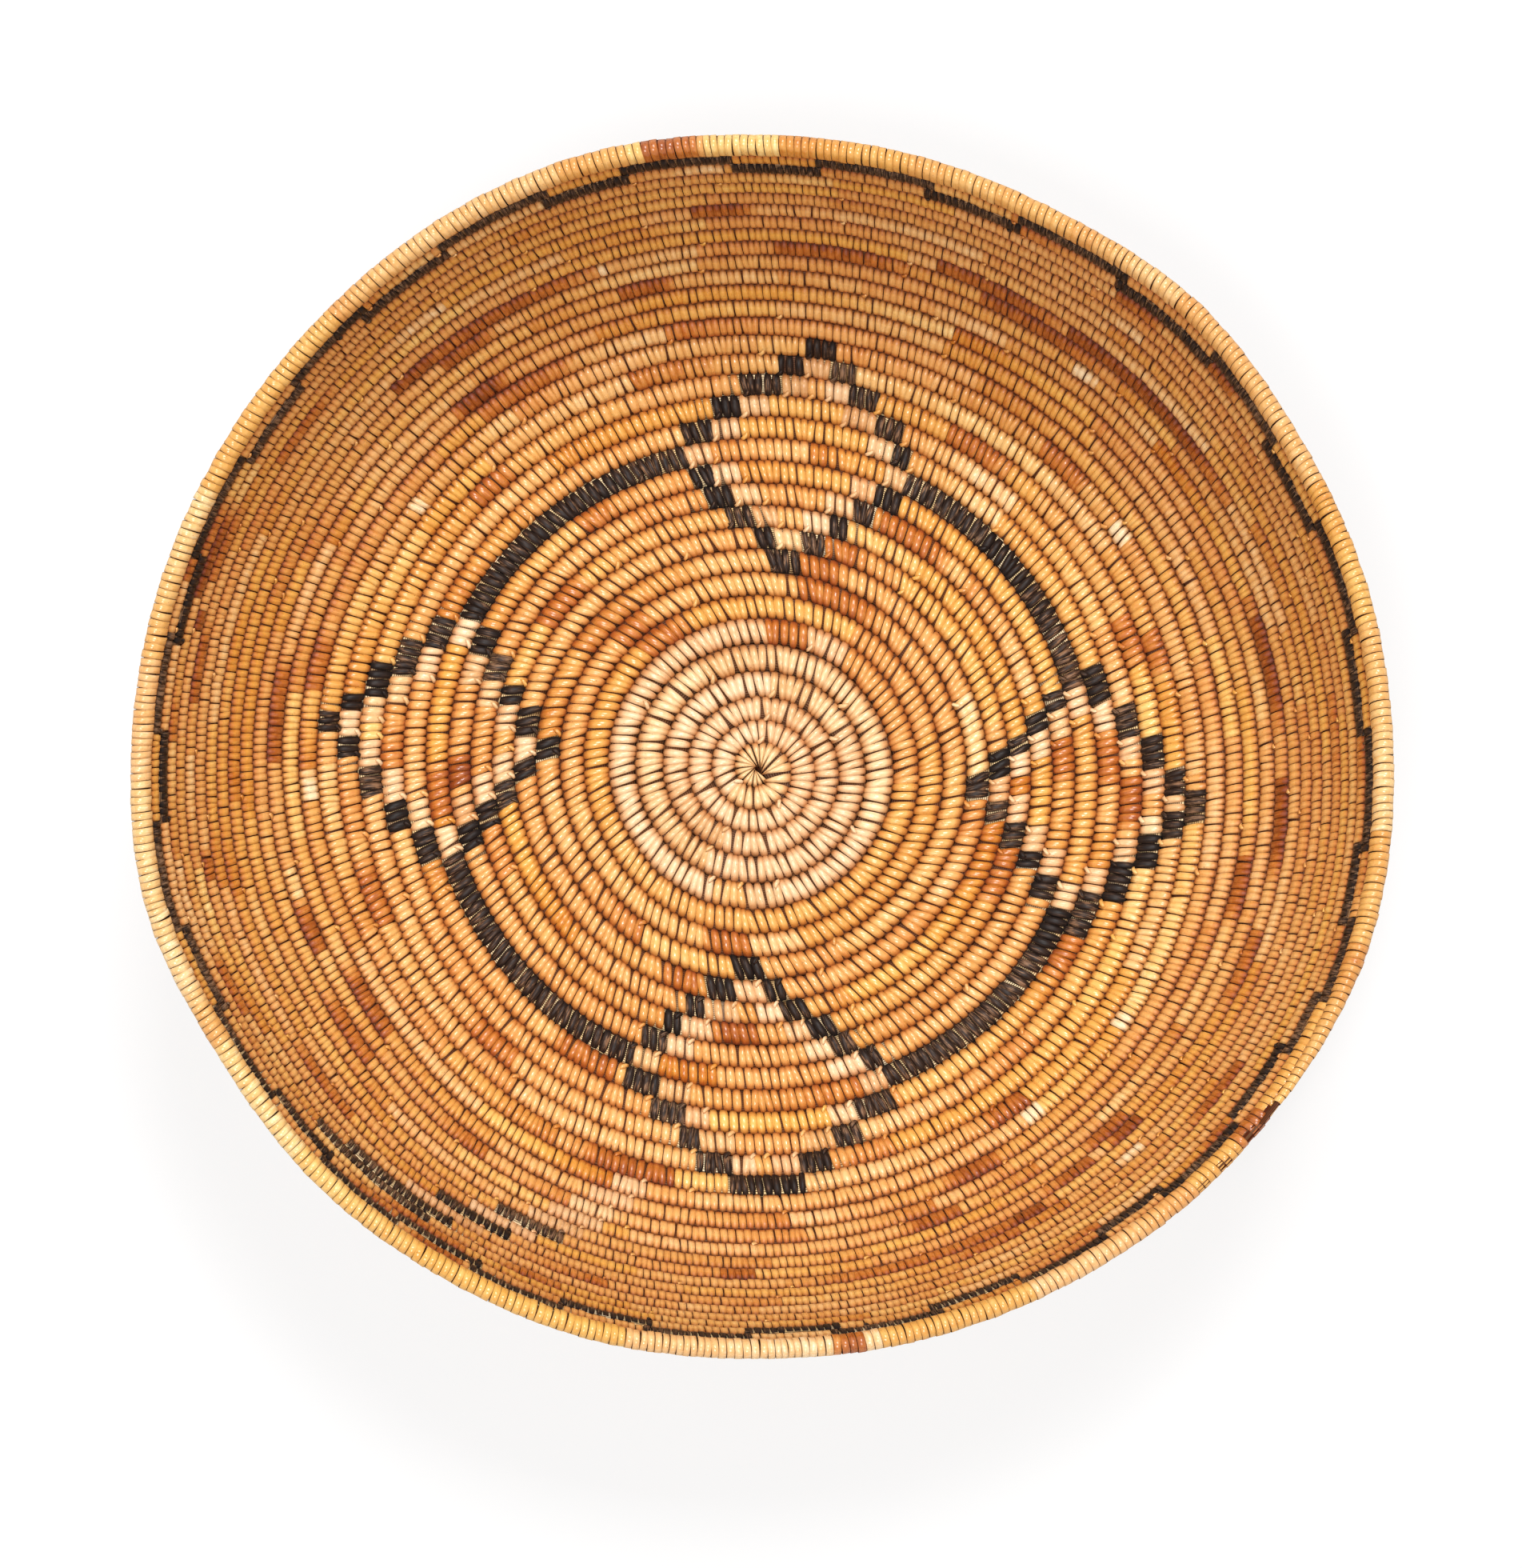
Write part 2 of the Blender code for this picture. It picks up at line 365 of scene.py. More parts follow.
notable_strands = {
    0.18: (
        (23, 133.5, 137.5), (24, 315.0, 322.0), (25, 36.0, 62.0), (25, 147.2, 152.0),
        (12, 266.0, 273.0), (20, 319.5, 327.0), (23, 73.5, 87.0), (23, 91.7, 103.5),
        (30, 285.0, 295.0), (29, 282.2, 284.2),
    ),
    0.27: (
        (32, 126.2, 129.8), (33, 169.8, 172.8), (33, 349.0, 354.6),
        (30, 38.0, 44.0), (25, 20.0, 35.0), (24, 26.0, 44.0), (24, 322.0, 341.8),
        (24, 2.0, 17.0), (15, 90.5, 99.0), (21, 101.0, 109.0), (22, 133.8, 139.8),
        (24, 140.2, 146.6), (20, 148.5, 156.0), (22, 155.0, 163.0), (27, 122.8, 131.0),
        (30, 128.6, 132.0), (18, 191.0, 206.0), (18, 140.2, 147.0), (21, 270.0, 283.0),
        (21, 246.5, 253.5), (20, 233.8, 244.5), (27, 257.0, 260.0), (27, 353.0, 359.8),
        (22, 343.2, 350.5), (23, 321.0, 329.0), (31, 50.0, 54.5), (32, 286.0, 288.3),
        (32, 209.0, 216.0), (11, 180.0, 188.5), (24, 180.0, 185.0), (28, 275.0, 283.0),
    ),
    0.35: (
        (7, 12.0, 40.0), (8, 12.0, 24.0), (9, 17.0, 28.0), (9, 193.0, 204.0), (7, 181.0, 195.0),
        (7, 311.0, 324.0), (6, 316.5, 334.0), (10, 106.5, 120.0), (10, 304.0, 318.5),
        (11, 26.0, 42.0), (12, 84.0, 92.0), (14, 85.0, 92.0), (14, 205.0, 218.0),
        (16, 29.0, 40.0), (16, 67.5, 74.0), (16, 218.8, 229.0), (16, 312.8, 321.0),
        (17, 70.5, 77.0), (17, 247.0, 256.0), (18, 42.0, 50.0), (19, 279.0, 288.0),
        (19, 321.5, 336.0), (25, 152.0, 177.0), (28, 301.0, 311.0), (29, 200.0, 206.5),
        (29, 242.5, 250.0), (30, 210.0, 221.0), (31, 217.6, 223.5), (31, 289.3, 295.5),
        (22, 232.0, 242.0), (26, 228.0, 239.0), (29, 287.0, 295.5), (13, 260.5, 270.0),
        (5, 3.0, 22.0), (14, 118.0, 125.0), (23, 109.0, 119.0), (26, 151.0, 158.5),
    ),
    0.99: (
        (18, 55.8, 58.8), (25, 135.2, 138.8), (19, 265.5, 268.8), (18, 306.0, 308.0),
        (24, 341.9, 343.0), (19, 140.2, 142.6), (18, 123.9, 125.6), (23, 39.0, 42.0),
    ),
    0.74: ((13, 123.0, 139.9), (14, 140.0, 152.0), (5, 183.0, 201.0)),
}
sewing = random.Random(1907)


def stitch_spacing(turn):
    """How far apart the stitches are at this place."""
    return float(np.interp(turn, spacing_turns, stitch_spacings))


def slant_in_turns(turn):
    """A stitch's slant at this place, as turns along the inner side of its row."""
    half, reach = at_turn(halves, turn), np.linalg.norm(at_turn(centres, turn)[:2])
    return float(np.interp(turn, slant_turns, stitch_slants)) * half / (math.pi * (reach - half))


def eased(sewn_places, index):
    """A stitch's place, evened out with the three stitches on each side. The
    first three keep their own place."""
    if index < 3:
        return sewn_places[index]
    near = sewn_places[index - 3:index + 4]
    return sum(weight * place for weight, place in zip(easing_weights, near)) / sum(easing_weights)


def plan_stitches():
    """Place, width in turns and strand of every stitch, and where its tip goes
    down. A stitch follows each gap of the turn below. One is added where the gaps
    have spread, and one is left out where they crowd."""
    sewn_places = [(index + 0.5) / middle_stitches for index in range(middle_stitches)]
    aims = [None] * middle_stitches
    gap_number = 1
    owed = 0.0
    while sewn_places[-1] < last_turn:
        gap_place = (eased(sewn_places, gap_number - 1) + eased(sewn_places, gap_number)) / 2
        gap_number += 1
        turn = gap_place + 1.0 - slant_in_turns(gap_place + 1.0)
        reach = np.linalg.norm(at_turn(centres, turn)[:2])
        wanted = stitch_spacing(turn) / (2 * math.pi * reach)
        room = turn - sewn_places[-1]
        owed += room / wanted - 1.0
        if owed < -most_ahead:
            owed += 1.0
            continue
        if owed > most_owed and room > least_added_room * wanted:
            sewn_places.append(turn - room / 2)
            aims.append(None)
            owed -= 1.0
        sewn_places.append(turn + wanted * sewing.uniform(-place_play, place_play))
        aims.append(gap_place)
    count = len(sewn_places) - 4
    smoothed = [eased(sewn_places, index) for index in range(count)]
    edges = [0.0] + [(here + there) / 2 for here, there in zip(smoothed, smoothed[1:])]
    places = []
    for start, end in zip(edges, edges[1:]):
        turn = (start + end) / 2
        if turn < last_turn:
            crest_turn = turn + crest_lean_share * slant_in_turns(max(turn, 1.0))
            places.append((turn, end - start, strand_at(crest_turn)))
    return places, aims


def strand_tones(places):
    """A tone from 0, darkest, to 1, lightest, for every stitch, a hue from 0,
    rosy, to 1, golden, and whether a new strand starts there."""
    tones, hues, starts = [], [], []
    count, length, first, final, hue, strand = 0, 0, 0.5, 0.5, 0.5, ""
    for turn, step, kind in places:
        if kind != strand or count >= length:
            starts.append(True)
            strand, count = kind, 0
            length = sewing.randint(fewest_in_strand, most_in_strand)
            first = sewing.triangular(*root_tones)
            final = sewing.triangular(*tip_tones)
            hue = sewing.random()
            if sewing.random() < even_strands_share:
                first = final + sewing.uniform(-strand_tone_play, strand_tone_play)
        else:
            starts.append(False)
        along = smooth(tone_change_speed * count / length)
        tone = first + (final - first) * along
        tone += sewing.uniform(-stitch_tone_play, stitch_tone_play)
        # On the rim the tone is raised, as painted light.
        tones.append(tone + rim_lighter * smooth((turn - rim_start) / rim_ease_turns))
        hues.append(hue)
        count += 1
    stitch_places = [place[0] for place in places]
    for tone, runs in notable_strands.items():
        for row, start, end in runs:
            first = bisect.bisect_left(stitch_places, row_turn(row, start))
            last = bisect.bisect_left(stitch_places, row_turn(row, start) + (end - start) / 360.0)
            for index in range(first, last):
                past = (index - first) / (last - first) - fade_start_share
                faded = smooth(past / (1.0 - fade_start_share)) * strand_fade
                tones[index] += (tone - tones[index]) * (1.0 - faded)
                tones[index] += sewing.uniform(-notable_tone_play, notable_tone_play)
                hues[index] = notable_hue
    return tones, hues, starts


places, aims = plan_stitches()
tones, hues, starts = strand_tones(places)


def tip_lean(index, turn, half, reach):
    """How far a stitch's inner tip lies onward of its outer end, so that it goes
    down between two stitches of the turn below."""
    slant = float(np.interp(turn, slant_turns, stitch_slants)) * 2 * half
    if aims[index] is None:
        return slant
    return (aims[index] + 1.0 - turn) * 2 * math.pi * (reach - half)


def stitch_rows():
    """Everything the sewing tree needs to know of each stitch, as one array each."""
    names = ("place", "across", "inward", "size", "lean", "splay", "tone", "hue", "seed")
    rows = {name: [] for name in names}
    for index, (turn, step, strand) in enumerate(places):
        centre = at_turn(centres, turn)
        forward, outward, up = (unit(at_turn(axes, turn)) for axes in (onward, across, inward))
        half = at_turn(halves, turn)
        reach = np.linalg.norm(centre[:2])
        width = step * 2 * math.pi * reach
        half *= 1.0 + rim_swell * smooth((turn - rim_start) / rim_ease_turns)
        aside = forward * sewing.uniform(-aside_play, aside_play) * width
        outside = outward * sewing.uniform(-across_play, across_play) * half
        rows["place"].append(centre + aside + outside)
        rows["across"].append(outward)
        rows["inward"].append(unit(up + forward * sewing.uniform(-twist_play, twist_play)))
        reach_across = half * sewing.uniform(*reach_range)
        rise = half * sewing.uniform(*rise_range)
        rows["size"].append((width, reach_across, rise))
        rows["lean"].append(forward * tip_lean(index, turn, half, reach))
        rows["splay"].append(forward * width * half / reach)
        rows["tone"].append(tones[index])
        rows["hue"].append(hues[index])
        rows["seed"].append(sewing.random())
    return {name: np.array(values) for name, values in rows.items()}


stitches = stitch_rows()
stitch_turns = np.array([turn for turn, step, strand in places])
stitch_strands = np.array([strand for turn, step, strand in places])
stitch_starts = np.array(starts)


# A stitch
# One turn of split strand round the bundle: a flat strip about half a millimetre
# thick, with a crowned outer side, pulled tight over the stems and drawn to a blunt
# tip where it goes down through the turn below. On the rim it shows all the way
# round. The end of a strand is left as a short flat tail. Across is y, in half
# widths of the bundle, and up is z. The third value is the strip's share of its
# full width. A tail's points start with x, along the bundle, in stitch widths.
stitch_path = (
    (1.02, 0.04, 0.26), (0.97, 0.32, 0.54), (0.82, 0.56, 0.84), (0.46, 0.78, 1.00),
    (-0.05, 0.88, 1.03), (-0.50, 0.83, 1.03), (-0.84, 0.71, 0.97), (-1.03, 0.59, 0.84),
    (-1.16, 0.44, 0.60), (-1.24, 0.22, 0.24),
)
rim_path = (
    (1.02, -0.08, 1.00), (0.95, 0.32, 1.00), (0.76, 0.60, 1.00), (0.38, 0.80, 1.00),
    (-0.08, 0.88, 1.00), (-0.52, 0.83, 1.00), (-0.84, 0.71, 0.97), (-1.03, 0.59, 0.84),
    (-1.16, 0.44, 0.60), (-1.24, 0.22, 0.26),
)
stitch_underside = (
    (-1.00, -0.50, 0.90), (-0.46, -0.76, 1.00), (0.22, -0.76, 1.02), (0.80, -0.56, 1.00),
)
strip_places = (-0.5, -0.43, 0.43, 0.5)
strip_middle = -0.10
strip_edge_share = 0.80
rim_edge_share = 0.94
tail_path = (
    (-0.58, -1.10, 0.60, 0.60), (-0.28, -0.98, 0.84, 0.90),
    (0.04, -0.74, 0.93, 1.00), (0.24, -0.58, 0.92, 0.80),
)
tail_half_width = 0.17
tail_thickness = 0.10
tail_skew = 0.6


def add_attribute(mesh, name, kind, values):
    """Store one value or vector on each vertex."""
    attribute = mesh.attributes.new(name, kind, "POINT")
    field = "value" if kind == "FLOAT" else "vector"
    attribute.data.foreach_set(field, np.asarray(values, dtype=np.float32).ravel())


def shape_object(name, vertices, faces, values):
    """A shape for the sewing tree to repeat, with its stored values."""
    mesh = bpy.data.meshes.new(name)
    mesh.from_pydata(vertices, [], faces, shade_flat=False)
    for value_name, column in values.items():
        kind = "FLOAT_VECTOR" if value_name == "fibre" else "FLOAT"
        add_attribute(mesh, value_name, kind, column)
    return bpy.data.objects.new(name, mesh)


def stitch_shape(name, path, edge_share, crest, inner_shade_gain, outer_shade_gain):
    """One stitch as a closed ring of strip, over the bundle and back under it. Its crease value sets the
    painted shade down the row's sides and in the seams. It grows from the crest down each side, by the
    side's gain."""
    ring = list(path) + list(stitch_underside)
    vertices = []
    values = {"crown": [], "crease": [], "tip": [], "fan": [], "fibre": []}
    travelled = 0.0
    for index, (y, z, width) in enumerate(ring):
        before = ring[index - 1] if index else (y, z, width)
        travelled += math.hypot(y - before[0], z - before[1])
        from_crest = abs(y - crest) * (outer_shade_gain if y > crest else inner_shade_gain)
        for x in strip_places:
            edge = abs(x) == 0.5
            share = edge_share if edge else 1.0
            level = strip_middle + (y - strip_middle) * share
            vertices.append((x * width, level, z * share))
            # Crown is 0 on the strip's edges, where painted shade with some dirt goes.
            values["crown"].append(0.0 if edge else 1.0)
            values["crease"].append(from_crest)
            values["tip"].append((1.0 - y) / (1.0 + tip_reach))
            values["fan"].append(x * width * level)
            values["fibre"].append((x, travelled, 0.0))
    wide = len(strip_places)
    faces = []
    for index in range(len(ring)):
        here, there = index * wide, (index + 1) % len(ring) * wide
        for side in range(wide):
            near, far = side, (side + 1) % wide
            faces.append((here + near, there + near, there + far, here + far))
    return shape_object(name, vertices, faces, values)


def tail_shape():
    """The end of a strand: a short flat strip that comes up out of the seam at
    the foot of its first stitch and lies across that stitch's corner."""
    vertices = []
    values = {"crown": [], "crease": [], "tip": [], "fan": [], "fibre": []}
    for index, (x, y, z, width) in enumerate(tail_path):
        side = tail_half_width * width
        for along, across_side, up in ((-1, 1, 0), (-1, 1, 1), (1, -1, 1), (1, -1, 0)):
            lowered = tail_thickness * (1 - up)
            vertices.append((x + along * side * tail_skew, y + across_side * side, z - lowered))
            # The tail's underside gets a low crown and its foot a seam crease, so both take painted shade.
            values["crown"].append(1.0 if up else 0.2)
            values["crease"].append(0.9 if index == 0 else 0.0)
            values["tip"].append((1.0 - y) / (1.0 + tip_reach))
            values["fan"].append(0.0)
            values["fibre"].append((along * 0.3, index * 0.4, 0.0))
    faces = [(3, 2, 1, 0)]
    for index in range(len(tail_path) - 1):
        here, there = index * 4, (index + 1) * 4
        for side in range(4):
            far = (side + 1) % 4
            faces.append((here + side, here + far, there + far, there + side))
    last = (len(tail_path) - 1) * 4
    faces.append((last, last + 1, last + 2, last + 3))
    return shape_object("tail_shape", vertices, faces, values)


def add_node(tree, kind, settings=None, links=None):
    """Add one node, with its settings and with its inputs linked or set."""
    node = tree.nodes.new(kind)
    for name, value in (settings or {}).items():
        setattr(node, name, value)
    for socket, source in (links or {}).items():
        if isinstance(source, bpy.types.NodeSocket):
            tree.links.new(source, node.inputs[socket])
        else:
            node.inputs[socket].default_value = source
    return node


def calculated(tree, operation, first, second=0.0):
    """The result of one calculation on two numbers."""
    return add_node(tree, "ShaderNodeMath", {"operation": operation}, {0: first, 1: second}).outputs[0]


def vector_result(tree, operation, first, second):
    """The result of one calculation on two vectors, or on a vector and its scale."""
    socket = "Scale" if operation == "SCALE" else 1
    links = {0: first, socket: second}
    return add_node(tree, "ShaderNodeVectorMath", {"operation": operation}, links).outputs[0]


def attribute_socket(tree, name, data_type="FLOAT_VECTOR"):
    """A stored attribute, for a geometry tree."""
    node = add_node(
        tree, "GeometryNodeInputNamedAttribute", {"data_type": data_type}, {"Name": name}
    )
    return node.outputs["Attribute"]


def new_tree(name, inputs):
    """A geometry tree with these inputs besides its geometry, and their sockets."""
    tree = bpy.data.node_groups.new(name, "GeometryNodeTree")
    tree.interface.new_socket("Geometry", in_out="INPUT", socket_type="NodeSocketGeometry")
    for input_name, kind in inputs:
        tree.interface.new_socket(input_name, in_out="INPUT", socket_type="NodeSocket" + kind)
    tree.interface.new_socket("Geometry", in_out="OUTPUT", socket_type="NodeSocketGeometry")
    return tree, add_node(tree, "NodeGroupInput").outputs


def finish_tree(tree, geometry, material):
    """Give what the tree has grown its material and send it out."""
    finished = add_node(
        tree, "GeometryNodeSetMaterial", None, {"Geometry": geometry, "Material": material}
    )
    add_node(tree, "NodeGroupOutput", None, {"Geometry": finished.outputs[0]})


def sewing_tree():
    """The tree that puts a stitch on each point, turns it to the bundle, fans it
    round the turn and leans its tip."""
    tree, entry = new_tree("sew_stitches", (
        ("Stitch", "Object"), ("Strand", "Material"), ("Width Share", "Float"),
        ("Width Play", "Float"), ("Fullness", "Float"), ("Seed", "Int"),
    ))
    turned = add_node(
        tree, "FunctionNodeAxesToRotation", {"primary_axis": "Z", "secondary_axis": "Y"},
        {"Primary Axis": attribute_socket(tree, "inward"),
         "Secondary Axis": attribute_socket(tree, "across")},
    )
    around = (entry["Width Share"], entry["Width Play"])
    play = add_node(
        tree, "FunctionNodeRandomValue", {"data_type": "FLOAT"},
        {2: calculated(tree, "SUBTRACT", *around), 3: calculated(tree, "ADD", *around),
         "Seed": entry["Seed"]},
    )
    shares = add_node(
        tree, "ShaderNodeCombineXYZ", None, {"X": play.outputs[1], "Y": 1.0, "Z": entry["Fullness"]}
    )
    size = vector_result(tree, "MULTIPLY", attribute_socket(tree, "size"), shares.outputs[0])
    shape = add_node(tree, "GeometryNodeObjectInfo", None, {"Object": entry["Stitch"]})
    placed = add_node(
        tree, "GeometryNodeInstanceOnPoints", None,
        {"Points": entry["Geometry"], "Instance": shape.outputs["Geometry"],
         "Rotation": turned.outputs[0], "Scale": size},
    )
    real = add_node(tree, "GeometryNodeRealizeInstances", None, {"Geometry": placed.outputs[0]})
    leaned, fanned = (
        vector_result(tree, "SCALE", attribute_socket(tree, whole), attribute_socket(tree, share, "FLOAT"))
        for whole, share in (("lean", "tip"), ("splay", "fan"))
    )
    fitted = add_node(
        tree, "GeometryNodeSetPosition", None,
        {"Geometry": real.outputs[0], "Offset": vector_result(tree, "ADD", leaned, fanned)},
    )
    finish_tree(tree, fitted.outputs[0], entry["Strand"])
    return tree


def grown(name, mesh, tree, settings):
    """Run a geometry tree on a mesh and keep the result as a plain mesh object."""
    source = bpy.data.objects.new(name + "_source", mesh)
    bpy.context.scene.collection.objects.link(source)
    modifier = source.modifiers.new("grow", "NODES")
    modifier.node_group = tree
    for item in tree.interface.items_tree:
        if item.in_out == "INPUT" and item.name in settings:
            modifier[item.identifier] = settings[item.name]
    depsgraph = bpy.context.evaluated_depsgraph_get()
    result = bpy.data.meshes.new_from_object(source.evaluated_get(depsgraph))
    result.name = name
    bpy.data.objects.remove(source)
    piece = bpy.data.objects.new(name, result)
    bpy.context.scene.collection.objects.link(piece)
    return piece


# The crest is where the row is left lightest. The gains set how fast the painted shade grows down the
# row's inner and outer sides: stronger on the wall, and weaker on the rim's outer side.
floor_crest = -0.10
rim_crest = -0.25
full_stitch = stitch_shape("full_stitch", stitch_path, strip_edge_share, floor_crest, 1.0, 1.0)
wall_stitch = stitch_shape("wall_stitch", stitch_path, strip_edge_share, floor_crest, 1.22, 1.15)
rim_stitch = stitch_shape("rim_stitch", rim_path, rim_edge_share, rim_crest, 0.90, 0.42)
strand_tail = tail_shape()


# The sewn pieces
# Where one sewn piece ends and the next starts, in turns from the middle: the
# places where the strands or the frame's nodes change. The natural strands of the
# wall are cut once more, in the middle of each node, to keep their pieces small.
knot_end = 1.0
centre_edge_turns = 0.2
diamond_start = 8.0
floor_end = 13.176
ring_end = 14.05
ring_edge_turns = 0.01
diamond_end = 18.5
lower_wall_end = 19.02
middle_wall_end = 25.02
dashes_end = 30.5
upper_wall_end = 30.94
rim_stitch_start = 32.90
past_rim_end = 34.0
sew = sewing_tree()


def sewn(name, chosen, strand, replaced=(), width_share=0.97, shape=full_stitch):
    """One piece: all the chosen stitches, sewn with one kind of strand."""
    mesh = bpy.data.meshes.new(name + "_places")
    mesh.from_pydata(stitches["place"][chosen].tolist(), [], [])
    for attribute in ("across", "inward", "size", "lean", "splay"):
        add_attribute(mesh, attribute, "FLOAT_VECTOR", stitches[attribute][chosen])
    for attribute in ("tone", "hue", "seed"):
        add_attribute(mesh, attribute, "FLOAT", stitches[attribute][chosen])
    piece = grown(name, mesh, sew, {
        "Stitch": shape, "Strand": strand, "Width Share": width_share,
        "Width Play": 0.03, "Fullness": 1.0, "Seed": 5,
    })
    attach(piece, "root")
    if replaced:
        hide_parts(*replaced)
    print(name, int(chosen.sum()), "stitches", len(piece.data.polygons) * 2, "triangles")
    return piece


def between(first, final, strand):
    """Which stitches lie between two places on the bundle and have this strand."""
    return (stitch_turns >= first) & (stitch_turns < final) & (stitch_strands == strand)


# The strands' surface
# A split strand has a smooth waxy skin with fine lines along it. Light and shade are painted on it. The
# crest of the row is left lightest and the row's sides take painted shade. The strip's edges, its tips and
# the seams are painted dark, as shade with some dirt.
# Patterns are laid in strand widths of about 2.1 mm across the strand, and in
# half widths of the bundle, about 2.9 mm, along it. The lines are 0.1 mm apart on
# the real strand and drawn 0.3 mm apart, as fine as the picture can show. A range
# holds the two values of a pattern, crown or crease between which a look sets in.
seeds_apart = 91.0
lines_in_width = (7.0, 0.7, 1.0)
lines_range = (0.25, 0.75)
blotches_in_width = (1.2, 1.1, 1.0)
blotches_range = (0.3, 0.7)
specks_in_width = (7.0, 6.0, 1.0)
specks_range = (0.66, 0.76)
specks_share = 0.45
flank_shade_range = (0.40, 1.00)
edge_dirt_and_shade_range = (0.0, 0.9)
seam_dirt_and_shade_range = (0.88, 1.12)
smoother_between_lines = 0.06
rougher_on_lines = 0.10
rough_lines_range = (0.3, 0.7)
matt_edge_range = (0.2, 0.9)
matt_seam_range = (0.55, 0.90)
edge_roughness = 0.95
rougher_in_seams = 0.45
line_depth = 0.00012
line_strength = 0.35
edge_rounding = 0.000125


def linear(hex_colour):
    """A colour written as sRGB hex, as linear red, green, blue and alpha."""
    parts = [int(hex_colour[place:place + 2], 16) / 255 for place in (1, 3, 5)]
    return [part / 12.92 if part <= 0.04045 else ((part + 0.055) / 1.055) ** 2.4 for part in parts] + [1.0]


def new_material(name):
    """An empty node material."""
    material = bpy.data.materials.new(name)
    material.use_nodes = True
    material.node_tree.nodes.clear()
    return material


def read_attribute(tree, name):
    """A stored attribute, for a material."""
    return add_node(tree, "ShaderNodeAttribute", {"attribute_type": "GEOMETRY", "attribute_name": name})


def colour_ramp(tree, share, stops):
    """A ramp from place to colour, fed with a share."""
    node = add_node(tree, "ShaderNodeValToRGB", None, {"Fac": share})
    ramp = node.color_ramp
    while len(ramp.elements) < len(stops):
        ramp.elements.new(0.5)
    for element, (place, colour) in zip(ramp.elements, stops):
        element.position = place
        element.color = linear(colour)
    return node.outputs["Color"]


def mixed(tree, share, first, second, blend="MIX"):
    """Two colours mixed by a share."""
    node = add_node(
        tree, "ShaderNodeMix", {"data_type": "RGBA", "blend_type": blend}, {0: share, 6: first, 7: second}
    )
    return node.outputs[2]


def ranged(tree, value, low, high, new_low, new_high):
    """A value taken from one range to another."""
    node = add_node(
        tree, "ShaderNodeMapRange", None,
        {"Value": value, "From Min": low, "From Max": high, "To Min": new_low, "To Max": new_high},
    )
    return node.outputs[0]


def noise(tree, place, stretch, detail, roughness=0.5):
    """A noise pattern, drawn out along each axis of its place."""
    stretched = vector_result(tree, "MULTIPLY", place, stretch)
    node = add_node(
        tree, "ShaderNodeTexNoise", {"noise_dimensions": "3D"},
        {"Vector": stretched, "Scale": 1.0, "Detail": detail, "Roughness": roughness},
    )
    return node.outputs["Fac"]


def finish_surface(tree, colour, roughness, ior, normal):
    """The surface itself, from its colour, roughness, sheen and relief."""
    shader = add_node(
        tree, "ShaderNodeBsdfPrincipled", None,
        {"Base Color": colour, "Roughness": roughness, "IOR": ior, "Normal": normal},
    )
    add_node(tree, "ShaderNodeOutputMaterial", None, {"Surface": shader.outputs[0]})


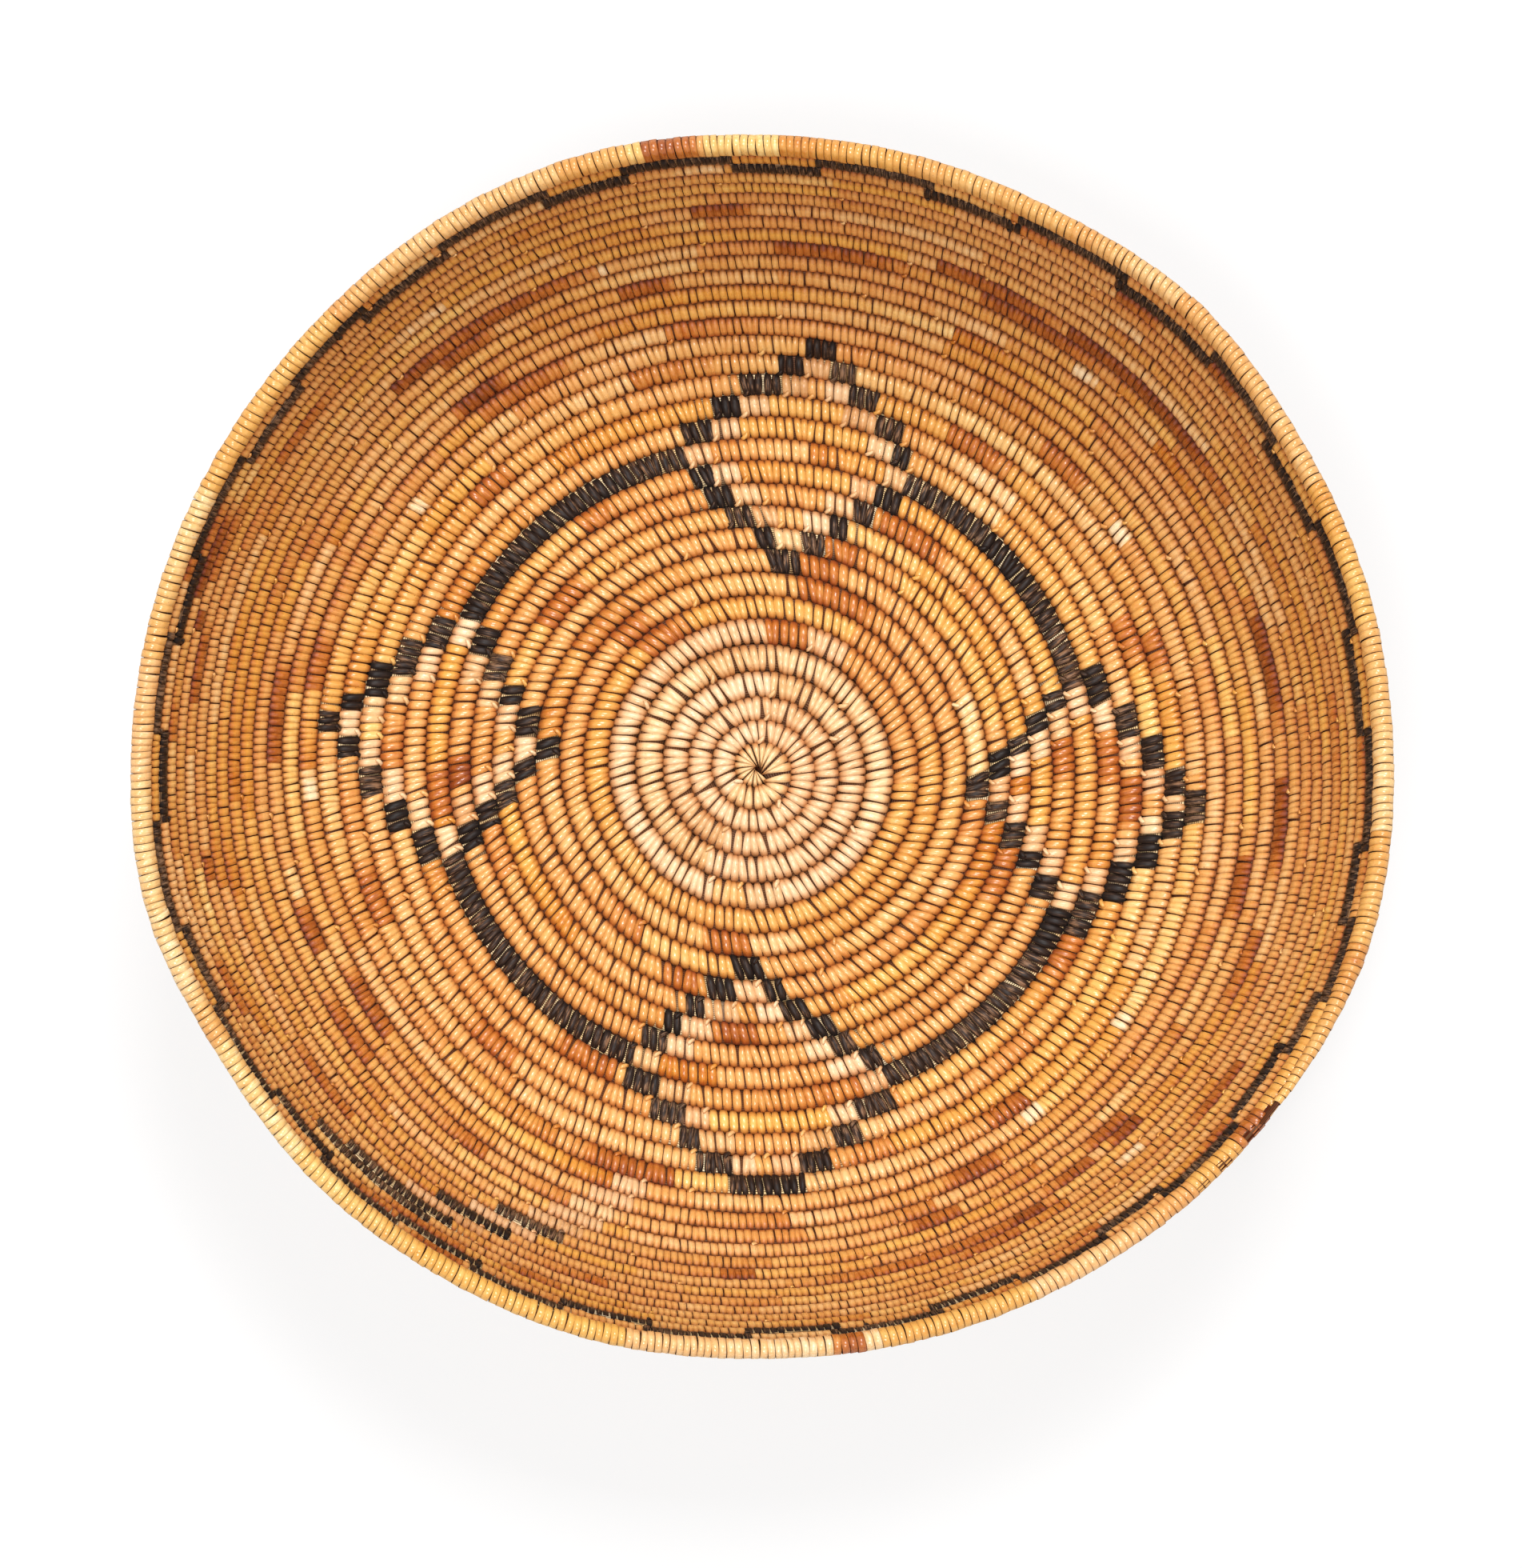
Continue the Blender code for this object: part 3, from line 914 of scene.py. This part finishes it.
def strand_material(name, stops, tints, flank_shade, edge, seam_dirt_and_shade, roughness, ior, fibre_share, tone_play):
    """A split strand: its tone along the ramp, tinted rosy or golden, with fine lines along it and dark
    specks of old skin. Light and shade are painted on it. The crest of the row is left lightest. The
    strand goes to its colours, each with its greatest share: the flank colour as painted shade down the
    row's sides, and the edge and dirt colours as painted shade with some dirt at the strip's edges and in
    the seams, where it is matt too. The strip's edges look rounded off by a little more than they are."""
    material = new_material(name)
    tree = material.node_tree
    tone, hue, seed, crown, crease = (
        read_attribute(tree, value).outputs["Fac"] for value in ("tone", "hue", "seed", "crown", "crease")
    )
    fibre = read_attribute(tree, "fibre").outputs["Vector"]
    offset = add_node(tree, "ShaderNodeCombineXYZ", None, {"X": seed, "Y": seed, "Z": seed}).outputs[0]
    own_place = vector_result(tree, "ADD", fibre, vector_result(tree, "SCALE", offset, seeds_apart))
    lines = noise(tree, own_place, lines_in_width, 3.0, 0.6)
    blotches = noise(tree, own_place, blotches_in_width, 2.0)
    specks = noise(tree, own_place, specks_in_width, 1.0)
    total = calculated(tree, "ADD", tone, ranged(tree, lines, *lines_range, -fibre_share, fibre_share))
    total = calculated(tree, "ADD", total, ranged(tree, blotches, *blotches_range, -tone_play, tone_play))
    colour = colour_ramp(tree, total, stops)
    colour = mixed(tree, 1.0, colour, colour_ramp(tree, hue, tints), "MULTIPLY")
    speckled = ranged(tree, specks, *specks_range, 0.0, specks_share)
    colour = mixed(tree, speckled, colour, linear(edge[0]))
    # Painted shade down the row's sides, which leaves the crest lightest.
    flank_shade_share = ranged(tree, crease, *flank_shade_range, 0.0, flank_shade[1])
    colour = mixed(tree, flank_shade_share, colour, linear(flank_shade[0]), "MULTIPLY")
    # Painted shade, with some dirt, at the strip's edges.
    edge_dirt_and_shade_share = ranged(tree, crown, *edge_dirt_and_shade_range, edge[1], 0.0)
    colour = mixed(tree, edge_dirt_and_shade_share, colour, linear(edge[0]))
    # Painted shade, with some dirt, in the seams.
    seam_dirt_and_shade_share = ranged(tree, crease, *seam_dirt_and_shade_range, 0.0, seam_dirt_and_shade[1])
    colour = mixed(tree, seam_dirt_and_shade_share, colour, linear(seam_dirt_and_shade[0]))
    smoothest, roughest = roughness - smoother_between_lines, roughness + rougher_on_lines
    rough = ranged(tree, lines, *rough_lines_range, smoothest, roughest)
    edge_matt = ranged(tree, crown, *matt_edge_range, edge_roughness - roughness, 0.0)
    seam_matt = ranged(tree, crease, *matt_seam_range, 0.0, rougher_in_seams)
    rough = calculated(tree, "ADD", calculated(tree, "ADD", rough, edge_matt), seam_matt)
    aside = add_node(tree, "ShaderNodeSeparateXYZ", None, {"Vector": fibre}).outputs["X"]
    drop = calculated(tree, "MULTIPLY", aside, aside)
    rounded = add_node(
        tree, "ShaderNodeBump", {"invert": True},
        {"Strength": 1.0, "Distance": edge_rounding * 4, "Height": drop},
    )
    bump = add_node(
        tree, "ShaderNodeBump", None,
        {"Strength": line_strength, "Distance": line_depth, "Height": lines, "Normal": rounded.outputs[0]},
    )
    finish_surface(tree, colour, rough, ior, bump.outputs[0])
    return material


# Natural strands
# Split rush stems, sun-dried and unbleached: waxy and glossy, tan, and orange where
# the strand comes from the stem's foot.
natural_strand = strand_material(
    "natural_rush_strand",
    ((0.00, "#5E2E12"), (0.18, "#984C1A"), (0.36, "#C67630"), (0.54, "#DF9E54"), (0.72, "#EAB36B"),
     (0.90, "#F4CB90"), (1.00, "#FBE6BC")),
    ((0.00, "#FFF4EC"), (0.50, "#FFFFFF"), (1.00, "#FFF8C8")),
    # The flank colour is painted shade down the row's sides. The edge and dirt colours are painted shade,
    # with some dirt, at the edges and in the seams.
    flank_shade=("#CC9C60", 1.0), edge=("#641200", 0.85), seam_dirt_and_shade=("#3C0E00", 0.66),
    roughness=0.21, ior=1.54, fibre_share=0.08, tone_play=0.07,
)
natural_start = pale_centre_end - centre_edge_turns
sewn("floor_stitches", between(natural_start, floor_end, "natural"), natural_strand,
     ["floor_coil"])
sewn("centre_natural_stitches", between(0.0, natural_start, "natural"), natural_strand)
sewn("ring_row_stitches", between(floor_end, ring_end, "natural"), natural_strand,
     ["diamond_row_left", "diamond_row_top", "diamond_row_right"])
sewn("lower_wall_stitches", between(ring_end, 17.0, "natural"), natural_strand,
     ["lower_wall_coil"])
sewn("lower_wall_upper_stitches", between(17.0, lower_wall_end, "natural"), natural_strand)
sewn("middle_wall_stitches", between(lower_wall_end, 22.0, "natural"), natural_strand,
     ["middle_wall_coil"], width_share=0.98, shape=wall_stitch)
sewn("middle_wall_upper_stitches", between(22.0, middle_wall_end, "natural"), natural_strand,
     width_share=0.98, shape=wall_stitch)
sewn("upper_wall_stitches", between(middle_wall_end, 28.0, "natural"), natural_strand,
     ["upper_wall_coil"], width_share=0.98, shape=wall_stitch)
sewn("upper_wall_upper_stitches", between(28.0, upper_wall_end, "natural"), natural_strand,
     width_share=0.98, shape=wall_stitch)
sewn("edge_row_stitches", between(upper_wall_end, rim_stitch_start, "natural"), natural_strand,
     width_share=0.98, shape=wall_stitch)
sewn("rim_stitches", between(rim_stitch_start, taper_turn, "natural"), natural_strand,
     ["rim_coil"], width_share=0.985, shape=rim_stitch)
sewn("rim_end_stitches", between(taper_turn, past_rim_end, "natural"), natural_strand,
     ["rim_end"], width_share=0.99, shape=rim_stitch)
shown_ends = stitch_starts & between(knot_end, rim_stitch_start, "natural") & (stitches["seed"] < 0.5)
sewn("natural_strand_ends", shown_ends, natural_strand,
     width_share=1.0, shape=strand_tail)


# Pale strands
# Split sumac with the bark off: a pale, slightly matt wood with soft lines.
pale_strand = strand_material(
    "pale_sumac_strand",
    ((0.00, "#B87C48"), (0.35, "#D9A56B"), (0.62, "#EBC190"), (1.00, "#F9DEB6")),
    ((0.00, "#FFF6F0"), (0.50, "#FFFFFF"), (1.00, "#FFFAE8")),
    # The flank colour is painted shade down the row's sides. The edge and dirt colours are painted shade,
    # with some dirt, at the edges and in the seams.
    flank_shade=("#CF9858", 0.90), edge=("#6A1800", 0.82), seam_dirt_and_shade=("#481400", 0.64),
    roughness=0.24, ior=1.50, fibre_share=0.16, tone_play=0.10,
)
sewn("start_knot_stitches", between(0.0, knot_end, "pale"), pale_strand, ["start_knot"])
sewn("pale_centre_stitches", between(knot_end, pale_centre_end, "pale"), pale_strand,
     ["pale_centre_coil"])
sewn("diamond_border_stitches", between(diamond_start, diamond_end, "pale"), pale_strand)
sewn("pale_patch_stitches", between(diamond_end, past_rim_end, "pale"), pale_strand)
shown_ends = stitch_starts & between(knot_end, rim_stitch_start, "pale")
sewn("pale_strand_ends", shown_ends, pale_strand, width_share=1.0, shape=strand_tail)


# Dyed strands
# Split rush dyed black in mud, with the skin gone matt and scratched brown. The brown shows most on the
# crown, because the row's sides, the strip's edges and the seams take painted shade. On the edge line and
# in the dashes the strand is narrower, so the pale stems of the bundle show between its stitches.
black_strand = strand_material(
    "dyed_black_rush_strand",
    ((0.00, "#120D0B"), (0.45, "#1F1613"), (0.75, "#372820"), (1.00, "#8A6A50")),
    ((0.00, "#FFFFFF"), (1.00, "#FFF4EA")),
    # The flank colour is painted shade down the row's sides. The edge and dirt colours are painted shade,
    # with some dirt, at the edges and in the seams.
    flank_shade=("#A89890", 0.6), edge=("#0F0B0A", 0.60), seam_dirt_and_shade=("#120D0B", 0.60),
    roughness=0.48, ior=1.30, fibre_share=0.46, tone_play=0.16,
)
sewn("ring_stitches", between(13.0, ring_end + ring_edge_turns, "black"), black_strand,
     ["ring_arc_lower_left", "ring_arc_upper_left", "ring_arc_upper_right", "ring_arc_lower_right"])
inner_outlines = between(diamond_start, 13.0, "black")
outer_outlines = between(ring_end + ring_edge_turns, 19.0, "black")
sewn("diamond_outline_stitches", inner_outlines | outer_outlines, black_strand,
     width_share=0.96)
sewn("dash_stitches", between(19.0, dashes_end, "black"), black_strand,
     width_share=0.86, shape=wall_stitch)
sewn("edge_line_stitches", between(dashes_end, past_rim_end, "black"), black_strand,
     ["edge_line_lower_coil", "edge_line_upper_coil"], width_share=0.86, shape=wall_stitch)
shown_ends = stitch_starts & between(knot_end, rim_stitch_start, "black") & (stitches["seed"] < 0.7)
sewn("black_strand_ends", shown_ends, black_strand,
     width_share=1.0, shape=strand_tail)


# The grass bundle
# About a dozen thin grass stems laid side by side and never seen whole: only as short dashes between the
# stitches. They are pale under black strands, and elsewhere are painted dark, as the shade in the hole
# between two stitches. On the edge line they show at slit_bearings.
bundle_reach_share = 1.03
bundle_height_share = 0.66
bundle_squareness = 2.4
stem_ridges = 12
stem_ridge_depth = 0.03
stems_across = 11
streaks_in_length = (60.0, 1.0, 1.0)
section_points = 24
rim_girth_share = 0.84
middle_half = 0.0010
middle_shift_share = 0.35
# How much of the stems' straw shows; the rest is painted dark shade.
shown_stems = {"natural": 0.08, "pale": 0.12, "black": 1.0}
dark_line_shown = 0.28
slit_bearings = (150.0, 245.0)
dark_line_swell = 0.10
dark_line_start = 19.0
start_drop = 0.0010
middle_height = 0.0012


def bundle_section():
    """The bundle across: an oval with a ridge for each outer stem."""
    section = bpy.data.curves.new("bundle_section", "CURVE")
    section.dimensions = "2D"
    spline = section.splines.new("POLY")
    spline.points.add(section_points - 1)
    spline.use_cyclic_u = True
    for index, point in enumerate(spline.points):
        angle = -2 * math.pi * index / section_points
        up, out = math.sin(angle), math.cos(angle)
        boxy = (abs(up) ** bundle_squareness + abs(out) ** bundle_squareness) ** (-1 / bundle_squareness)
        ridge = boxy * (1.0 + stem_ridge_depth * math.cos(stem_ridges * angle))
        point.co = (bundle_height_share * ridge * up, bundle_reach_share * ridge * out, 0.0, 1.0)
    return bpy.data.objects.new("bundle_section", section)


def bundle_tree():
    """The tree that sweeps the section along the bundle's run."""
    inputs = (("Section", "Object"), ("Girth", "Float"), ("Stems", "Material"))
    tree, entry = new_tree("lay_bundle", inputs)
    line = add_node(tree, "GeometryNodeMeshToCurve", None, {"Mesh": entry["Geometry"]})
    upright = add_node(
        tree, "GeometryNodeSetCurveNormal", {"mode": "FREE"},
        {"Curve": line.outputs[0], "Normal": attribute_socket(tree, "inward")},
    )
    girth = calculated(tree, "MULTIPLY", attribute_socket(tree, "half", "FLOAT"), entry["Girth"])
    section = add_node(tree, "GeometryNodeObjectInfo", None, {"Object": entry["Section"]})
    around = add_node(tree, "GeometryNodeInputPosition").outputs[0]
    marked = add_node(
        tree, "GeometryNodeStoreNamedAttribute", {"data_type": "FLOAT_VECTOR", "domain": "POINT"},
        {"Geometry": section.outputs["Geometry"], "Name": "section_place", "Value": around},
    )
    swept = add_node(
        tree, "GeometryNodeCurveToMesh", None,
        {"Curve": upright.outputs[0], "Profile Curve": marked.outputs[0],
         "Scale": girth, "Fill Caps": True},
    )
    real = add_node(tree, "GeometryNodeRealizeInstances", None, {"Geometry": swept.outputs[0]})
    finish_tree(tree, real.outputs[0], entry["Stems"])
    return tree


def stem_material():
    """Dry grass stems: streaked straw, with painted shade in the grooves between the stems, and painted
    dark shade where the stitches hide them.
    """
    material = new_material("dry_grass_stems")
    tree = material.node_tree
    place = read_attribute(tree, "stem_place").outputs["Vector"]
    streaks = noise(tree, place, streaks_in_length, 3.0)
    straw = colour_ramp(tree, streaks, ((0.30, "#D0A466"), (0.48, "#EECD96"), (0.70, "#FFEFCC")))
    across_place = read_attribute(tree, "section_place").outputs["Vector"]
    parted = add_node(tree, "ShaderNodeSeparateXYZ", None, {"Vector": across_place})
    turned = calculated(tree, "MULTIPLY", parted.outputs["Y"], math.pi * stems_across)
    wave = calculated(tree, "SINE", turned)
    # Painted shade in the grooves between the stems.
    shade_between_stems = ranged(tree, wave, -0.6, 0.2, 0.85, 0.0)
    straw = mixed(tree, shade_between_stems, straw, linear("#3A2210"))
    shown = read_attribute(tree, "shown").outputs["Fac"]
    # Painted dark shade where the stems don't show.
    colour = mixed(tree, shown, linear("#481200"), straw)
    bump = add_node(tree, "ShaderNodeBump", None, {"Strength": 0.5, "Distance": 0.0002, "Height": streaks})
    finish_surface(tree, colour, 0.7, 1.12, bump.outputs[0])
    return material


def lay_bundle():
    """The whole bundle from its start to the rim's end, as one long piece."""
    line = centres.copy()
    line[:, 2] -= [start_drop * (1.0 - smooth(step / steps_in_turn - 0.2)) for step in steps]
    middle = line[0] * (-middle_shift_share, -middle_shift_share, 0.0) + (0.0, 0.0, middle_height)
    points = np.vstack((middle, line))
    strands = [strand_at(step / steps_in_turn) for step in steps]
    dark_line = (np.array(strands) == "black") & (steps > dark_line_start * steps_in_turn)
    # Where the stems don't show, they are painted dark as shade.
    shown = [shown_stems[strand] for strand in strands]
    for step in steps[dark_line]:
        bearing = turn_bearing(step / steps_in_turn) % 360.0
        if not slit_bearings[0] < bearing < slit_bearings[1]:
            shown[step] = dark_line_shown
    edges = [(index, index + 1) for index in range(len(points) - 1)]
    mesh = bpy.data.meshes.new("bundle_line")
    mesh.from_pydata(points.tolist(), edges, [])
    add_attribute(mesh, "inward", "FLOAT_VECTOR", np.vstack((inward[0], inward)))
    on_rim = np.array([smooth((step / steps_in_turn - rim_start) / rim_ease_turns) for step in steps])
    girths = halves * (1.0 - (1.0 - rim_girth_share) * on_rim) * (1.0 + dark_line_swell * dark_line)
    add_attribute(mesh, "half", "FLOAT", np.concatenate(([middle_half], girths)))
    add_attribute(mesh, "shown", "FLOAT", [0.0] + shown)
    travelled = np.concatenate(([0.0], np.cumsum(np.linalg.norm(np.diff(points, axis=0), axis=1))))
    add_attribute(mesh, "stem_place", "FLOAT_VECTOR", [(length, 0.0, 0.0) for length in travelled])
    piece = grown("grass_bundle", mesh, bundle_tree(), {
        "Section": bundle_section(), "Girth": 1.0, "Stems": stem_material(),
    })
    piece.data.shade_smooth()
    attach(piece, "root")
    return piece


bundle = lay_bundle()
print("grass_bundle", len(bundle.data.polygons) * 2, "triangles")


# The studio
# A plain pale floor under the basket, one soft light from beyond its far side and
# another from above its near side, and an even white sky that gives a weak glow.
def soft_light(name, place, size, power):
    """A square lamp that looks at the basket."""
    lamp = bpy.data.lights.new(name, "AREA")
    lamp.size = size
    lamp.energy = power
    lamp.color = (1.0, 1.0, 1.0)
    holder = bpy.data.objects.new(name, lamp)
    holder.location = place
    holder.rotation_euler = (-Vector(place)).to_track_quat("-Z", "Y").to_euler()
    holder.visible_camera = False
    bpy.context.scene.collection.objects.link(holder)
    return holder


soft_light("far_light", (0.3, 1.7, 2.9), 1.2, 88.0)
soft_light("front_light", (-0.4, -0.9, 3.1), 0.9, 65.0)


def plain_rays(tree):
    """1 for rays from the camera or through gloss or glass, 0 for the light itself."""
    path = add_node(tree, "ShaderNodeLightPath").outputs
    plain = path["Is Camera Ray"]
    for kind in ("Is Glossy Ray", "Is Transmission Ray"):
        plain = calculated(tree, "MAXIMUM", plain, path[kind])
    return plain


world = bpy.data.worlds.new("studio_sky")
world.use_nodes = True
world.node_tree.nodes.clear()
sky, glow = (
    add_node(
        world.node_tree, "ShaderNodeBackground", None, {"Color": linear("#FFFFFF"), "Strength": strength}
    )
    for strength in (1.0, 0.26)
)
sky_or_glow = add_node(
    world.node_tree, "ShaderNodeMixShader", None,
    {0: plain_rays(world.node_tree), 1: glow.outputs[0], 2: sky.outputs[0]},
)
add_node(world.node_tree, "ShaderNodeOutputWorld", None, {"Surface": sky_or_glow.outputs[0]})
bpy.context.scene.world = world

floor_lift = 0.72
floor_half_width = 4.0
floor_material = new_material("white_studio_floor")
floor_tree = floor_material.node_tree
paint = add_node(floor_tree, "ShaderNodeBsdfDiffuse", None, {"Color": linear("#F2F2F2")})
white = add_node(floor_tree, "ShaderNodeEmission", None, {"Color": linear("#FFFFFF"), "Strength": 1.0})
lifted = calculated(floor_tree, "MULTIPLY", plain_rays(floor_tree), floor_lift)
floor_look = add_node(
    floor_tree, "ShaderNodeMixShader", None,
    {0: lifted, 1: paint.outputs[0], 2: white.outputs[0]},
)
add_node(floor_tree, "ShaderNodeOutputMaterial", None, {"Surface": floor_look.outputs[0]})
floor_mesh = bpy.data.meshes.new("studio_floor")
corner_signs = ((-1, -1), (1, -1), (1, 1), (-1, 1))
corners = [(x * floor_half_width, y * floor_half_width, 0) for x, y in corner_signs]
floor_mesh.from_pydata(corners, [], [(0, 1, 2, 3)])
floor_mesh.materials.append(floor_material)
studio_floor = bpy.data.objects.new("studio_floor", floor_mesh)
bpy.context.scene.collection.objects.link(studio_floor)


# The camera
# It looks almost straight down into the basket, from a little below the middle.
camera_distance = 1.90
camera_elevation = 85.6
aim = Vector((0.0012, -0.0039, 0.0))
camera_data = bpy.data.cameras.new("camera")
camera_data.sensor_fit = "HORIZONTAL"
camera_data.sensor_width = 36.0
camera_data.lens = 163.9
camera = bpy.data.objects.new("camera", camera_data)
tilt = math.radians(camera_elevation)
camera.location = aim + camera_distance * Vector((0.0, -math.cos(tilt), math.sin(tilt)))
camera.rotation_euler = (math.pi / 2 - tilt, 0.0, 0.0)
bpy.context.scene.collection.objects.link(camera)
bpy.context.scene.camera = camera
bpy.context.scene.view_settings.view_transform = "Standard"
